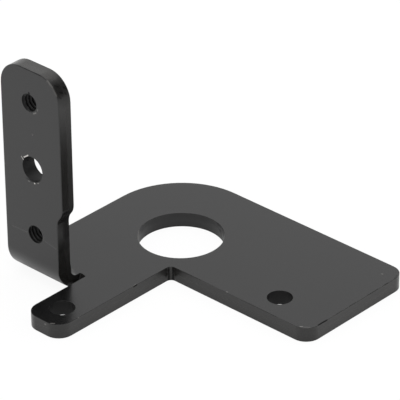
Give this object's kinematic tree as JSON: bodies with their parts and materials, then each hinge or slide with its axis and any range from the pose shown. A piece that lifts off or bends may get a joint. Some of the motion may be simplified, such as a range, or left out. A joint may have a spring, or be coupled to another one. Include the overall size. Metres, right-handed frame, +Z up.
{
  "type": "sensor mounting bracket",
  "caption": "Folded sheet-metal bracket with a large round sensor hole, an L-shaped plate with screw holes and an upright drilled flange, coated satin black.",
  "frame": {"origin": "centre of the sensor hole on the underside of the plate", "axes": "+Z up out of the plate, the way the flange stands; +X along the arm, away from the flange; +Y from the flange towards the back edge"},
  "size_m": [0.0388, 0.0379, 0.0302],
  "materials": {
    "black_coat": "satin black coat"
  },
  "bodies": {
    "root": {"bracket": "black_coat"}
  },
  "joints": []
}
